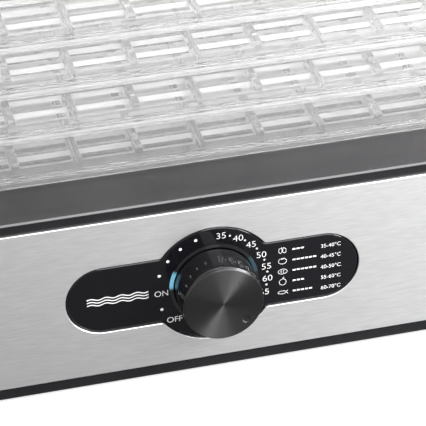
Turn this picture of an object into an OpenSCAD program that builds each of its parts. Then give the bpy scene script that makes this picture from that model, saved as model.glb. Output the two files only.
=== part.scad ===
// Food dehydrator: a low fan-and-heater base with a dial on its front, a stack of clear trays
// and a clear lid. Right is +X, the front faces -Y and up is +Z.
// The origin is on the table under the middle of the whole object.

/* [Base] */
// Width of the base
base_w = 418; // [412:2:460]
// Depth of the base, from the steel front plate to the back wall
base_d = 312; // [306:2:330]
// Height of the front frame
frame_h = 103; // [100:1:110]
// Radius of the base's upright corners
base_r = 8; // [4:1:8]
// Wall thickness of the plastic casings
wall = 2.5; // [2:0.5:3]
// Height of the rubber feet below the base
foot_h = 3; // [3:1:8]

/* [Front] */
// Height of the steel front plate
plate_h = 91; // [84:1:92]
// Width of the steel front plate
plate_w = 404; // [380:2:404]
// Sideways offset of the dial from the middle of the base
dial_x = -4; // [-6:1:6]
// Radius of the round middle of the control panel
dial_r = 33.5; // [32:0.5:36]
// Half the height of the control panel's side lobes
lobe_r = 19.5; // [16:0.5:22]
// Distance from the dial's centre to the centre of each round end
lobe_x = 58; // [50:1:80]

/* [Knob] */
// Radius of the knob
knob_r = 21; // [18:0.5:21]
// How far the knob stands out from the steel plate
knob_out = 20.4; // [16:0.2:24]

/* [Trays] */
// Number of openings across one tray
slot_columns = 12; // [8:2:12]
// Number of openings from the front of one tray to its back
slot_rows = 19; // [11:2:19]
// Distance from one tray to the next
tray_pitch = 25; // [22:1:40]
// Height of the thick rim around each tray
rim_h = 4.8; // [4.6:0.2:8]
// Radius of the trays' corners
tray_r = 16; // [12:1:24]

/* [Fan] */
// Inner radius of the air duct
duct_r = 72; // [72:1:74]
// Number of fan blades
blade_count = 7; // [5:1:9]

/* [Hidden] */
$fn = 64;

// Depths below are measured back from the face of the steel plate; bench() moves them to the origin.
gland_out = 4;
front_y = (knob_out - base_d - gland_out) / 2;

frame_y = 1.5;               // face of the plastic frame, behind the steel
frame_t = 8;                 // thickness of the plastic frame
case_y = frame_y + frame_t;  // front of the lower case
base_z = foot_h;             // underside of the base
frame_top = base_z + frame_h;
dial_z = base_z + 52;        // height of the knob's axis
plate_z = dial_z + 0.5;      // height of the steel plate's middle
deck_rise = 6;               // height of the tray deck above the frame
deck_z = frame_top + deck_rise;
slope_d = 26;                // where the sloping front of the deck ends

plate_t = 2;
panel_face = 0.5;            // how far the panel's face lies behind the steel
panel_t = 4.5;
panel_bevel = 1;
panel_gap = 0.2;             // gap between the panel and the steel around it
panel_back = panel_face + panel_t;
ring_outer = 23.4;           // light ring
ring_inner = 21.6;
panel_hole = ring_outer + 0.1;

// One tray, measured up from its underside and inward from its rim
slot_w = 27;
slot_d = 9.2;
bar_x = 5;                   // bar between openings side by side
bar_y = 4.3;                 // bar between openings front to back
border = 14;
skirt = 1.8;                 // outer skirt of the rim
groove_in = 4.4;             // inner side of the groove that takes the wall below
rim_in = 6;                  // inner side of the whole rim
wall_out = 2.2;              // outer and inner faces of the tray's wall
wall_in = 4;
nest = 3;                    // how far each wall reaches into the rim above
grid_t = 3;
rib_w = 2.4;
rib_h = 1.5;
peg_w = 3.2;                 // short pegs on the bars between the ribs
peg_h = 2.4;
column_step = slot_w + bar_x;
row_step = slot_d + bar_y;
tray_w = slot_columns * column_step - bar_x + 2 * border;
tray_d = slot_rows * row_step - bar_y + 2 * border;
tray_front = 26.6;           // from the steel plate to the front of the trays
tray_y = tray_front + tray_d / 2;
tray_count = 5;
lid_z = deck_z + tray_count * tray_pitch;
lid_wall_h = 10;
lid_t = 2;

// Fan and heater, stacked on one upright axis
fan_y = tray_y;
duct_t = 2;
duct_top = deck_z - wall - 1;
duct_low = 40;
bracket_z = 46;
impeller_z = 54;
impeller_h = 16;
shaft_r = 2;
heater_z = 90;
coil_radii = [25, 40, 55];
coil_r = 2;
tab_low = heater_z - 10;     // tabs that hold the heater's cards in the duct
tab_h = 6;
running = 0.05;              // radial clearance of a shaft in its hole
pilot_r = 1.55;              // holes that screws bite into, and holes they pass through
clear_hole_r = 1.8;
rivet_r = 1.6;

gland_x = 150;
gland_z = 26;
gland_bore = 3.7;
boss_r = 6;
boss_split = 60;             // height where the lower and upper screw bosses meet
cover_w = 200;
cover_z = base_z + wall;     // top of the lower case's floor
foot_r = 10;

black = [0.09, 0.09, 0.1];
steel = [0.78, 0.78, 0.78];
clear = [0.9, 0.93, 0.95, 0.4];
dark_metal = [0.25, 0.25, 0.26];
bare_metal = [0.7, 0.7, 0.72];
mica = [0.75, 0.68, 0.5];
brown = [0.45, 0.3, 0.2];
glow = [0.55, 0.85, 0.95];

// ---------- shared helpers ----------

module bench() {
    translate([0, front_y, 0])
        children();
}

// A rectangle with round corners, centred on the origin
module rounded(w, d, r) {
    square([w - 2 * r, d], center = true);
    square([w, d - 2 * r], center = true);
    for (x = [-1, 1], y = [-1, 1])
        translate([x * (w / 2 - r), y * (d / 2 - r)])
            circle(r);
}

// The base's outline seen from above
module base_outline(inset = 0) {
    d = base_d - frame_y;
    translate([0, frame_y + d / 2])
        rounded(base_w - 2 * inset, d - 2 * inset, base_r - inset);
}

// The tray's outline moved in by inset
module tray_outline(inset) {
    rounded(tray_w - 2 * inset, tray_d - 2 * inset, tray_r - inset);
}

// A closed loop around the tray, between two insets and two heights
module tray_loop(outer, inner, low, high) {
    translate([0, 0, low])
        linear_extrude(high - low)
            difference() {
                tray_outline(outer);
                tray_outline(inner);
            }
}

// A cylinder along Y about the knob's axis, from depth y0 to depth y1
module dial_cylinder(r, y0, y1) {
    translate([dial_x, y1, dial_z])
        rotate([90, 0, 0])
            cylinder(r = r, h = y1 - y0);
}

// The same shape made hollow
module dial_tube(r_out, r_in, y0, y1) {
    difference() {
        dial_cylinder(r_out, y0, y1);
        dial_cylinder(r_in, y0 - 1, y1 + 1);
    }
}

// The outline of the control panel: a round middle with a lobe on each side
module panel_outline(inset = 0) {
    circle(dial_r - inset);
    square([2 * lobe_x, 2 * (lobe_r - inset)], center = true);
    for (side = [-1, 1])
        translate([side * lobe_x, 0])
            circle(lobe_r - inset);
}

// The panel's outline stood upright, from depth y0 to depth y1
module panel_block(inset, y0, y1) {
    translate([dial_x, y1, dial_z])
        rotate([90, 0, 0])
            linear_extrude(y1 - y0)
                panel_outline(inset);
}

// An upright tube or rod on the fan's axis
module fan_ring(r_out, r_in, low, high) {
    translate([0, fan_y, low])
        difference() {
            cylinder(r = r_out, h = high - low);
            if (r_in > 0)
                translate([0, 0, -1])
                    cylinder(r = r_in, h = high - low + 2);
        }
}

// Places children at the four screw bosses of the casing
module at_bosses() {
    for (x = [-1, 1], y = [case_y + 16, base_d - 16])
        translate([x * (base_w / 2 - 16), y, 0])
            children();
}

// Places children at the four feet, or at one of them
module at_foot(x, y) {
    foot_y = y < 0 ? case_y + 40 : base_d - 40;
    translate([x * (base_w / 2 - 34), foot_y, 0])
        children();
}

// Places children at the four corners of the bottom cover
module at_cover_screws() {
    for (x = [-1, 1], y = [-1, 1])
        translate([x * (cover_w / 2 - 5), fan_y + y * (cover_w / 2 - 5), 0])
            children();
}

// Places children evenly around the fan's axis
module around_fan(count, radius, start = 0) {
    for (i = [0 : count - 1])
        translate([0, fan_y, 0])
            rotate([0, 0, start + i * 360 / count])
                translate([radius, 0, 0])
                    children();
}

// Places children at the duct's four screws
module at_duct_screws() {
    around_fan(4, 87, 45)
        children();
}

// A pan-head screw pointing up, with its head's underside at z = 0
module screw(head_r, shank_r, length) {
    translate([0, 0, -2.2])
        cylinder(r = head_r, h = 2.2);
    cylinder(r = shank_r, h = length);
}

// ---------- casing ----------

module lower_case() {
    back_slots = 9;
    foot_pocket = 1;
    color(black) bench() difference() {
        union() {
            difference() {
                translate([0, 0, base_z])
                    linear_extrude(frame_h)
                        base_outline();
                translate([0, 0, cover_z])
                    linear_extrude(frame_h)
                        base_outline(wall);
            }
            at_bosses()
                translate([0, 0, cover_z])
                    cylinder(r = boss_r, h = boss_split - cover_z);
        }
        translate([-base_w, -base_w + case_y, 0])
            cube([2 * base_w, base_w, 2 * frame_h]);
        // opening under the fan
        translate([-cover_w / 2 + 10, fan_y - cover_w / 2 + 10, 0])
            cube([cover_w - 20, cover_w - 20, 20]);
        // screw wells and clearance holes in the bosses
        at_bosses() {
            cylinder(r = 4, h = boss_split - 10);
            cylinder(r = clear_hole_r, h = boss_split + 1);
        }
        for (x = [-1, 1], y = [-1, 1])
            at_foot(x, y)
                cylinder(r = foot_r + 0.1, h = base_z + foot_pocket);
        at_cover_screws()
            cylinder(r = pilot_r, h = cover_z + 1);
        // hole for the cable gland and the slots beside it
        translate([gland_x, base_d + 1, gland_z])
            rotate([90, 0, 0])
                cylinder(r = 6.3, h = 10);
        for (i = [0 : back_slots - 1])
            translate([(i - (back_slots - 1) / 2) * 12 - 2, base_d - 10, 40])
                cube([4, 20, 36]);
    }
}

module bottom_cover() {
    step = 12;
    color(black) bench() difference() {
        translate([-cover_w / 2, fan_y - cover_w / 2, cover_z])
            cube([cover_w, cover_w, 2]);
        for (i = [-6 : 6])
            translate([i * step - 3, fan_y - 70, cover_z - 1])
                cube([6, 140, 4]);
        at_cover_screws()
            translate([0, 0, cover_z - 1])
                cylinder(r = clear_hole_r, h = 4);
    }
}

// The deck's section from front to back, moved in by inset below its top
module deck_section(inset) {
    polygon([
        [frame_y + inset, frame_top - 2 * inset],
        [frame_y + inset, frame_top + 1.2 - inset * 0.5],
        [frame_y + inset + 1.2, frame_top + 2.2 - inset * 0.7],
        [slope_d + inset * 0.3, deck_z - inset],
        [base_d - inset, deck_z - inset],
        [base_d - inset, frame_top - 2 * inset]
    ]);
}

// The section carried across the base, with the base's round corners
module deck_block(inset) {
    intersection() {
        translate([-base_w / 2, 0, 0])
            rotate([90, 0, 90])
                linear_extrude(base_w)
                    deck_section(inset);
        translate([0, 0, frame_top - 2 * inset])
            linear_extrude(deck_rise + 2 * inset + 1)
                base_outline(inset);
    }
}

module top_housing() {
    color(black) bench() difference() {
        union() {
            difference() {
                deck_block(0);
                deck_block(wall);
            }
            // low wall that the first tray drops over
            translate([0, tray_y, 0])
                tray_loop(wall_out, wall_in, deck_z - 1, deck_z + nest);
            at_bosses()
                translate([0, 0, boss_split])
                    cylinder(r = boss_r, h = deck_z - wall - boss_split + 1);
        }
        fan_ring(78, 0, deck_z - 10, deck_z + 10);
        fan_ring(84, 0, deck_z - 1.5, deck_z + 10);
        at_bosses()
            translate([0, 0, boss_split - 1])
                cylinder(r = pilot_r, h = 25);
        at_duct_screws()
            translate([0, 0, duct_top])
                cylinder(r = pilot_r, h = 2.8);
    }
}

module front_frame() {
    lug_l = 12;
    lug_h = 14;
    color(black) bench() difference() {
        union() {
            translate([0, 0, base_z])
                linear_extrude(frame_h)
                    intersection() {
                        base_outline();
                        translate([-base_w / 2, 0])
                            square([base_w, case_y]);
                    }
            // snap lugs that reach back inside the lower case's side walls
            for (side = [-1, 1], z = [24, 72])
                translate([side * (base_w / 2 - wall - 1.6) - 1.4, case_y - 1, z])
                    cube([2.8, lug_l + 1, lug_h]);
        }
        // shallow recess for the steel, and a deeper one for the panel
        translate([-plate_w / 2 - 0.2, 0, plate_z - plate_h / 2 - 0.2])
            cube([plate_w + 0.4, plate_t, plate_h + 0.4]);
        panel_block(0, 0, panel_back);
        dial_cylinder(10, 0, case_y + 1);
        at_light_legs(1.6, 0, case_y + 1);
        at_bracket_screws(pilot_r, panel_back + 1, case_y + 1);
    }
}

module front_plate() {
    color(steel) bench() difference() {
        translate([-plate_w / 2, 0, plate_z - plate_h / 2])
            cube([plate_w, plate_t, plate_h]);
        panel_block(0, -1, plate_t + 1);
    }
}

module control_panel() {
    color(black) bench() difference() {
        union() {
            panel_block(panel_gap + panel_bevel, panel_face, panel_back);
            panel_block(panel_gap, panel_face + 0.7, panel_back);
        }
        dial_cylinder(panel_hole, 0, panel_back + 1);
    }
}

// ---------- dial ----------

// Rods along Y under the light ring, one on each side of the dial's axis
module at_light_legs(r, y0, y1) {
    mid = (ring_inner + ring_outer) / 2;
    for (angle = [20, 165])
        translate([mid * cos(angle), 0, mid * sin(angle)])
            dial_cylinder(r, y0, y1);
}

// Rods along Y at the four screws of the thermostat's bracket
module at_bracket_screws(r, y0, y1) {
    for (x = [-37, 37], z = [-11, 11])
        translate([x, 0, z])
            dial_cylinder(r, y0, y1);
}

module light_ring() {
    color(glow) bench() union() {
        dial_tube(ring_outer, ring_inner, panel_face - 0.5, panel_back);
        at_light_legs(0.85, panel_back - 1, case_y - 1.2);
    }
}

module led_board() {
    color([0.1, 0.35, 0.2]) bench() union() {
        dial_tube(26, 12.5, case_y, case_y + 1.6);
        at_light_legs(1.4, case_y - 1, case_y + 0.5);
    }
}

module thermostat() {
    back = case_y + 22;
    color(bare_metal) bench() difference() {
        union() {
            translate([dial_x - 16, case_y + 3.6, dial_z - 16])
                cube([32, back - case_y - 3.6, 32]);
            dial_cylinder(5, 4, case_y + 5);
            for (x = [-8, 8])
                translate([dial_x + x - 2.4, back - 1, dial_z - 10])
                    cube([4.8, 9, 0.8]);
        }
        dial_cylinder(3 + running, 3, back - 1);
    }
}

module thermostat_bracket() {
    color(bare_metal) bench() difference() {
        union() {
            translate([dial_x - 40, case_y + 2, dial_z - 17])
                cube([80, 1.6, 34]);
            for (x = [-40, 34])
                translate([dial_x + x, case_y, dial_z - 17])
                    cube([6, 3, 34]);
        }
        dial_cylinder(5.2, 0, case_y + 10);
        at_bracket_screws(clear_hole_r, case_y - 1, case_y + 10);
    }
}

module thermostat_nut() {
    color(bare_metal) bench() difference() {
        translate([dial_x, case_y + 2, dial_z])
            rotate([90, 0, 0])
                cylinder(r = 8, h = 2.6, $fn = 6);
        dial_cylinder(5.1, 0, case_y + 5);
    }
}

module thermostat_shaft() {
    color(bare_metal) bench()
        dial_cylinder(3, -14, case_y + 20.5);
}

module knob_body() {
    rim = 0.4 - knob_out;
    color(black) bench() difference() {
        union() {
            dial_cylinder(knob_r, rim + 0.8, panel_face - 0.9);
            translate([dial_x, rim + 0.8, dial_z])
                rotate([90, 0, 0])
                    cylinder(r1 = knob_r, r2 = knob_r - 0.8, h = 0.8);
        }
        dial_cylinder(knob_r - 1.2, rim - 1, rim + 0.8);
        difference() {
            dial_cylinder(knob_r - 2.2, rim + 2.6, 2);
            dial_cylinder(6.5, rim, 3);
        }
        dial_cylinder(3 + running, -14.5, 2);
    }
}

// Spun metal disc with the round pointer dimple near its edge
module knob_face() {
    dimple_angle = -44;
    dimple_from_axis = 16;
    color(dark_metal) bench() difference() {
        dial_cylinder(knob_r - 1.25, -knob_out, 1.2 - knob_out);
        translate([dimple_from_axis * cos(dimple_angle), 0, dimple_from_axis * sin(dimple_angle)])
            dial_cylinder(2.1, -knob_out - 1, 0.6 - knob_out);
    }
}

module knob_clip() {
    color(bare_metal) bench()
        dial_tube(7.4, 6.55, -4, -1);
}

// ---------- fan and heater ----------

module air_duct() {
    color(bare_metal) bench() difference() {
        union() {
            fan_ring(duct_r + duct_t, 0, duct_low, duct_top);
            fan_ring(92, 0, duct_top - 2, duct_top);
        }
        fan_ring(duct_r, 0, duct_low - 1, duct_top + 1);
        at_duct_screws()
            translate([0, 0, duct_top - 3])
                cylinder(r = clear_hole_r, h = 5);
        heater_cross(duct_r + 6, tab_low - 0.2, tab_low + tab_h + 0.2, 1.5);
        bracket_rivet_rods(rivet_r + running, duct_r - 1, duct_r + 5);
    }
}

module duct_gasket() {
    color([0.35, 0.35, 0.35]) bench() difference() {
        fan_ring(92, 79, duct_top, duct_top + 1);
        at_duct_screws()
            translate([0, 0, duct_top - 1])
                cylinder(r = clear_hole_r, h = 4);
    }
}

module outlet_grille() {
    ring_step = 11;
    low = deck_z - 1.5;
    high = deck_z + 0.6;
    color(black) bench() union() {
        fan_ring(83.8, 75, low, deck_z);
        for (i = [1 : 6])
            fan_ring(i * ring_step + 2, i * ring_step - 1, low, high);
        intersection() {
            fan_ring(80, 0, low, high - 0.6);
            union()
                for (angle = [0, 45, 90, 135])
                    translate([0, fan_y, low])
                        rotate([0, 0, angle])
                            translate([-80, -1.5, 0])
                                cube([160, 3, 5]);
        }
        fan_ring(8, 0, low, high);
    }
}

// Rods that point outward from the fan's axis, at the rivets of the motor's bracket
module bracket_rivet_rods(r, from_r, to_r) {
    around_fan(3, from_r)
        translate([0, 0, bracket_z + 9])
            rotate([0, 90, 0])
                cylinder(r = r, h = to_r - from_r);
}

module motor_bracket() {
    arm_end = duct_r - 0.6;
    color(bare_metal) bench() difference() {
        union() {
            fan_ring(34, 0, bracket_z, bracket_z + 2);
            // three arms, each turned up at its end and riveted to the duct
            around_fan(3, 20)
                translate([0, -6, bracket_z])
                    cube([arm_end - 20, 12, 2]);
            around_fan(3, arm_end - 1.5)
                translate([0, -6, bracket_z])
                    cube([1.5, 12, 15]);
        }
        fan_ring(9, 0, bracket_z - 1, bracket_z + 3);
        around_fan(3, 25, 60)
            translate([0, 0, bracket_z - 1])
                cylinder(r = 3.2, h = 4);
        bracket_rivet_rods(rivet_r + running, arm_end - 5, arm_end + 1);
    }
}

module bracket_rivets() {
    head_r = 2.9;
    color(bare_metal) bench() union() {
        bracket_rivet_rods(rivet_r, duct_r - 2.1, duct_r + duct_t + 1);
        bracket_rivet_rods(head_r, duct_r + duct_t + 0.05, duct_r + duct_t + 1.2);
        bracket_rivet_rods(head_r, duct_r - 3.2, duct_r - 2.1);
    }
}

module motor_grommets() {
    color([0.15, 0.15, 0.15]) bench()
        around_fan(3, 25, 60)
            translate([0, 0, bracket_z - 2])
                difference() {
                    union() {
                        cylinder(r = 5, h = 2);
                        cylinder(r = 3.1, h = 4);
                        translate([0, 0, 4])
                            cylinder(r = 5, h = 1.6);
                    }
                    translate([0, 0, -1])
                        cylinder(r = 1.7, h = 9);
                }
}

module fan_motor() {
    top = bracket_z - 2;
    color([0.3, 0.3, 0.32]) bench() difference() {
        union() {
            fan_ring(30, 0, 18, top);
            fan_ring(7, 0, top - 1, bracket_z + 4);
            fan_ring(10, 0, 14, 19);
        }
        fan_ring(shaft_r + running, 0, 19, bracket_z + 5);
        around_fan(3, 25, 60)
            translate([0, 0, top - 8])
                cylinder(r = 1.6, h = 9);
    }
}

module motor_shaft() {
    color(bare_metal) bench()
        fan_ring(shaft_r, 0, 20, impeller_z + impeller_h + 3);
}

module fan_impeller() {
    tilt = 32;
    chord = 28;
    blade_t = 1.8;
    color([0.16, 0.16, 0.17]) bench() difference() {
        union() {
            fan_ring(15, 0, impeller_z, impeller_z + impeller_h);
            intersection() {
                fan_ring(duct_r - 4, 0, impeller_z, impeller_z + impeller_h);
                union()
                    for (i = [0 : blade_count - 1])
                        translate([0, fan_y, impeller_z + impeller_h / 2])
                            rotate([0, 0, i * 360 / blade_count])
                                translate([10, 0, 0])
                                    rotate([tilt, 0, 0])
                                        translate([0, -chord / 2, -blade_t / 2])
                                            cube([duct_r, chord, blade_t]);
            }
        }
        fan_ring(shaft_r + running, 0, impeller_z - 1, impeller_z + impeller_h + 1);
    }
}

module impeller_nut() {
    top = impeller_z + impeller_h;
    color(bare_metal) bench() difference() {
        translate([0, fan_y, top])
            cylinder(r = 4.6, h = 2.4, $fn = 6);
        fan_ring(shaft_r + running, 0, top - 1, top + 4);
    }
}

// One wound ring of the heater, as a plain round bar
module coil_ring(radius, bar) {
    translate([0, fan_y, heater_z])
        rotate_extrude()
            translate([radius, 0])
                circle(bar);
}

// Two upright cards of half-length reach, crossed on the fan's axis
module heater_cross(reach, low, high, thick) {
    for (angle = [45, 135])
        translate([0, fan_y, low])
            rotate([0, 0, angle])
                translate([-reach, -thick / 2, 0])
                    cube([2 * reach, thick, high - low]);
}

// Mica cards whose end tabs sit in slots in the duct
module heater_frame() {
    color(mica) bench() difference() {
        union() {
            heater_cross(duct_r - 0.3, heater_z - 14, heater_z + coil_r, 1.2);
            heater_cross(duct_r + 3.5, tab_low, tab_low + tab_h, 1.2);
        }
        for (radius = coil_radii)
            coil_ring(radius, coil_r + 0.15);
    }
}

module heater_element() {
    color(brown) bench() union() {
        for (radius = coil_radii)
            coil_ring(radius, coil_r);
        translate([coil_radii[0], fan_y, heater_z])
            rotate([0, 90, 0])
                cylinder(r = 1.4, h = coil_radii[2] - coil_radii[0]);
    }
}

module thermal_cutout() {
    color(bare_metal) bench() translate([duct_r + duct_t, fan_y, heater_z])
        rotate([0, 90, 0])
            union() {
                cylinder(r = 8, h = 3);
                translate([0, 0, 2])
                    cylinder(r = 6.5, h = 6);
                for (y = [-3.5, 3.5])
                    translate([-2.4, y - 0.4, 7])
                        cube([4.8, 0.8, 9]);
            }
}

// ---------- wiring ----------

module terminal_block() {
    ways = 3;
    color([0.85, 0.83, 0.78]) bench() translate([gland_x - 34, base_d - 62, cover_z])
        difference() {
            union()
                for (i = [0 : ways - 1])
                    translate([i * 12, 0, 0])
                        cube([i < ways - 1 ? 13 : 11, 20, 14]);
            for (i = [0 : ways - 1])
                translate([i * 12 + 5.5, -1, 6])
                    rotate([-90, 0, 0])
                        cylinder(r = 2.2, h = 22);
        }
}

module cord_gland() {
    color([0.12, 0.12, 0.12]) bench() translate([gland_x, base_d, gland_z])
        rotate([-90, 0, 0])
            difference() {
                union() {
                    cylinder(r1 = 9, r2 = 7, h = gland_out);
                    translate([0, 0, -wall - 4])
                        cylinder(r = 6.2, h = wall + 5);
                    translate([0, 0, -wall - 4])
                        cylinder(r = 8.5, h = 4);
                }
                translate([0, 0, -20])
                    cylinder(r = gland_bore, h = 40);
            }
}

// A round lead that runs from point to point along the axes, with round elbows
module lead(points, r) {
    for (i = [0 : len(points) - 2]) {
        run = points[i + 1] - points[i];
        length = norm(run);
        turn = run[0] != 0 ? [0, 90 * sign(run[0]), 0]
            : run[1] != 0 ? [-90 * sign(run[1]), 0, 0]
            : run[2] < 0 ? [180, 0, 0] : [0, 0, 0];
        translate(points[i])
            rotate(turn)
                cylinder(r = r, h = length, $fn = 24);
        translate(points[i + 1])
            sphere(r, $fn = 24);
    }
}

module wiring_loom() {
    block_x = gland_x - 34;
    block_y = base_d - 62;
    low = cover_z + 6;
    tab_z = dial_z - 9.6;
    lead_r = 1.5;
    color([0.6, 0.1, 0.1]) bench() {
        // to the thermostat
        lead([[block_x + 17.5, block_y - 0.2, low], [block_x + 17.5, 60, low],
              [dial_x + 8, 60, low], [dial_x + 8, 45, low],
              [dial_x + 8, 45, tab_z], [dial_x + 8, case_y + 31.7, tab_z]], lead_r);
        // to the thermal cut-out and the heater behind it
        lead([[block_x + 5.5, block_y - 0.2, low], [block_x + 5.5, fan_y + 3.5, low],
              [block_x + 5.5, fan_y + 3.5, heater_z], [duct_r + 19.7, fan_y + 3.5, heater_z]], lead_r);
        // to the fan's motor
        lead([[block_x + 29.5, block_y - 0.2, low], [block_x + 29.5, block_y - 12, low],
              [block_x + 29.5, block_y - 12, 30], [0, block_y - 12, 30],
              [0, fan_y + 31.7, 30]], lead_r);
    }
}

// ---------- feet and fasteners ----------

module foot(x, y) {
    color([0.13, 0.13, 0.13]) bench() at_foot(x, y)
        union() {
            cylinder(r1 = foot_r - 1.5, r2 = foot_r, h = foot_h * 0.6);
            translate([0, 0, foot_h * 0.6])
                cylinder(r = foot_r, h = foot_h * 0.4 + 1);
        }
}

module case_screws() {
    color(bare_metal) bench() at_bosses()
        translate([0, 0, boss_split - 10])
            screw(3.6, 1.5, 30);
}

module cover_screws() {
    color(bare_metal) bench()
        at_cover_screws()
            translate([0, 0, cover_z + 2])
                rotate([180, 0, 0])
                    screw(3.4, 1.5, 4.3);
}

module duct_screws() {
    color(bare_metal) bench() at_duct_screws()
        translate([0, 0, duct_top - 2])
            screw(3.4, 1.5, 4.5);
}

module bracket_screws() {
    color(bare_metal) bench() union() {
        at_bracket_screws(1.5, panel_back + 1.3, case_y + 4);
        at_bracket_screws(2.6, case_y + 3.6, case_y + 5.4);
    }
}

module motor_screws() {
    color(bare_metal) bench() around_fan(3, 25, 60)
        translate([0, 0, bracket_z + 3.6])
            rotate([180, 0, 0])
                screw(3.2, 1.5, 12);
}

// ---------- trays and lid ----------

// Moves children to tray number n
module at_tray(n) {
    bench()
        translate([0, tray_y, deck_z + (n - 1) * tray_pitch])
            children();
}

// Rim and wall: the rim's groove drops over the wall below
module tray_rim(n) {
    color(clear) at_tray(n) union() {
        tray_loop(0, skirt, 0, rim_h);
        tray_loop(skirt, groove_in, nest, rim_h);
        tray_loop(groove_in, rim_in, 0, rim_h);
        tray_loop(wall_out, wall_in, rim_h, tray_pitch + nest);
    }
}

// Floor with rows of openings, a long rib on every second bar and, near the front and the back,
// short pegs on the bars between
module tray_grid(n) {
    rib_every = 2;
    inner_d = tray_d - 2 * rim_in;
    rib_count = floor(slot_columns / 2 / rib_every - 0.5);
    color(clear) at_tray(n) union() {
        translate([0, 0, rim_h - grid_t])
            linear_extrude(grid_t)
                difference() {
                    tray_outline(rim_in);
                    for (i = [0 : slot_columns - 1], j = [0 : slot_rows - 1])
                        translate([
                            (i - (slot_columns - 1) / 2) * column_step,
                            (j - (slot_rows - 1) / 2) * row_step
                        ])
                            square([slot_w, slot_d], center = true);
                }
        for (i = [-rib_count : rib_count])
            translate([i * rib_every * column_step - rib_w / 2, -inner_d / 2 + 1, rim_h - 1])
                cube([rib_w, inner_d - 2, rib_h + 1]);
        for (i = [-rib_count - 0.5 : rib_count + 0.5], j = [0, 1, slot_rows - 2, slot_rows - 1])
            translate([
                i * rib_every * column_step - peg_w / 2,
                (j - (slot_rows - 1) / 2) * row_step - slot_d / 2,
                rim_h - 1
            ])
                cube([peg_w, slot_d, peg_h + 1]);
    }
}

module lid_rim() {
    color(clear) bench() translate([0, tray_y, lid_z]) union() {
        tray_loop(0, skirt, 0, rim_h);
        tray_loop(skirt, groove_in, nest, rim_h);
        tray_loop(groove_in, rim_in, 0, rim_h);
        tray_loop(wall_out, rim_in, rim_h, lid_wall_h);
    }
}

module lid_top() {
    vent_step = 14;
    vent_rows = 7;
    color(clear) bench() translate([0, tray_y, lid_z + lid_wall_h - lid_t])
        linear_extrude(lid_t)
            difference() {
                tray_outline(rim_in);
                for (side = [-1, 1], i = [0 : 5], j = [0 : vent_rows - 1])
                    translate([side * (78 + i * vent_step), (j - (vent_rows - 1) / 2) * 28])
                        square([6, 20], center = true);
            }
}

module lid_handle() {
    grip_l = 90;
    color(clear) bench() translate([0, tray_y, lid_z + lid_wall_h]) union() {
        linear_extrude(2)
            rounded(grip_l, 34, 16);
        translate([0, 0, 2])
            linear_extrude(9)
                rounded(grip_l - 8, 11, 5.4);
    }
}

lower_case();
bottom_cover();
top_housing();
front_frame();
front_plate();
control_panel();
light_ring();
led_board();
thermostat();
thermostat_bracket();
thermostat_nut();
thermostat_shaft();
knob_body();
knob_face();
knob_clip();
air_duct();
duct_gasket();
outlet_grille();
motor_bracket();
motor_grommets();
fan_motor();
motor_shaft();
fan_impeller();
impeller_nut();
heater_frame();
heater_element();
thermal_cutout();
terminal_block();
cord_gland();
wiring_loom();
foot(-1, -1);  // foot_front_left
foot(1, -1);  // foot_front_right
foot(-1, 1);  // foot_back_left
foot(1, 1);  // foot_back_right
case_screws();
cover_screws();
duct_screws();
motor_screws();
bracket_screws();
bracket_rivets();
tray_rim(1);  // tray_1_rim
tray_grid(1);  // tray_1_grid
tray_rim(2);  // tray_2_rim
tray_grid(2);  // tray_2_grid
tray_rim(3);  // tray_3_rim
tray_grid(3);  // tray_3_grid
tray_rim(4);  // tray_4_rim
tray_grid(4);  // tray_4_grid
tray_rim(5);  // tray_5_rim
tray_grid(5);  // tray_5_grid
lid_rim();
lid_top();
lid_handle();
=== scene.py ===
"""The looks of a food dehydrator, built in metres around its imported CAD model.

Right is +X, the front faces -Y and up is +Z. Depths are measured back from the face of the steel plate.
"""
import math

import bmesh
import bpy
from mathutils import Matrix, Quaternion, Vector
from mathutils.geometry import tessellate_polygon


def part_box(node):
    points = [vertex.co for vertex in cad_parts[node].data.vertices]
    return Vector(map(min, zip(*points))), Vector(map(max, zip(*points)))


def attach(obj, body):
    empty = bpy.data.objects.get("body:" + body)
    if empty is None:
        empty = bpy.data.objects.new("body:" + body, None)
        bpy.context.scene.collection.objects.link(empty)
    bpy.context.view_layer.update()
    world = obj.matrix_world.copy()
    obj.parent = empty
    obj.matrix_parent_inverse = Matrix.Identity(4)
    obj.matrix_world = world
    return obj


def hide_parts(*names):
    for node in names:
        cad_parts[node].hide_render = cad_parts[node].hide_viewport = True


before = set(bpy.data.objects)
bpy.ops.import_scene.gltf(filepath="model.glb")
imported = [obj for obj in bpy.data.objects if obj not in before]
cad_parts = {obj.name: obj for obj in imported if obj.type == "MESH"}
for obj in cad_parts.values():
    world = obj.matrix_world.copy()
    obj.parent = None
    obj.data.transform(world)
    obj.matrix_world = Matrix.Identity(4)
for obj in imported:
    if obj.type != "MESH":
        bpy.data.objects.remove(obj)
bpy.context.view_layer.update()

MM = 0.001

# ---------- places, from the boxes of the frame's nodes ----------

PLATE_LO, PLATE_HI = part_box("front_plate")
PANEL_LO, PANEL_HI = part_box("control_panel")
FRAME_LO, FRAME_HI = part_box("front_frame")
CASE_LO, CASE_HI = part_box("lower_case")
DECK_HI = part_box("top_housing")[1]
KNOB_LO, KNOB_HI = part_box("knob_body")
DISC_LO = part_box("knob_face")[0]
TRAY_LO, TRAY_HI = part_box("tray_1_rim")
LID_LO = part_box("lid_rim")[0]
LID_TOP_LO, LID_TOP_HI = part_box("lid_top")
GRIP_LO, GRIP_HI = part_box("lid_handle")
RING_LO, RING_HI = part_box("light_ring")

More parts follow.
